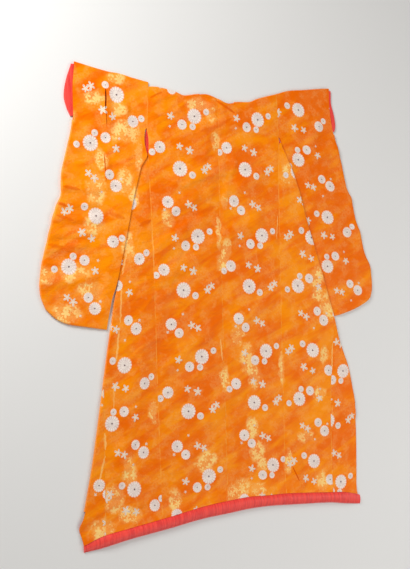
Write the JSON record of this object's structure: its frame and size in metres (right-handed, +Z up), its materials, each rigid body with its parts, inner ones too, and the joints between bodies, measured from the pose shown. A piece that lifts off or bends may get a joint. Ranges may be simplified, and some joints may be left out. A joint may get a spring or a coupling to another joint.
{
  "type": "long-sleeved lined kimono laid flat",
  "caption": "Lined kimono with long swinging sleeves and a padded hem, laid flat on its front with the back upwards and both fronts spread out to the sides",
  "frame": {"origin": "under the middle of the garment's box, on the surface it lies on", "axes": "+X across to the wearer's right sleeve, +Y up the back from hem to shoulders, +Z up off the surface"},
  "size_m": [1.609, 1.8948, 0.0205],
  "materials": {
    "brocade": "satin brocade with woven flowers",
    "red_lining": "soft plain silk, padded and gathered"
  },
  "bodies": {
    "root": {"body_left": "brocade", "body_right": "brocade", "okumi_left": "brocade", "okumi_right": "brocade", "sleeve_left": "brocade", "sleeve_right": "brocade", "collar": "brocade", "cuff_roll_left": "red_lining", "cuff_roll_right": "red_lining", "hem_roll": "red_lining"}
  },
  "joints": []
}
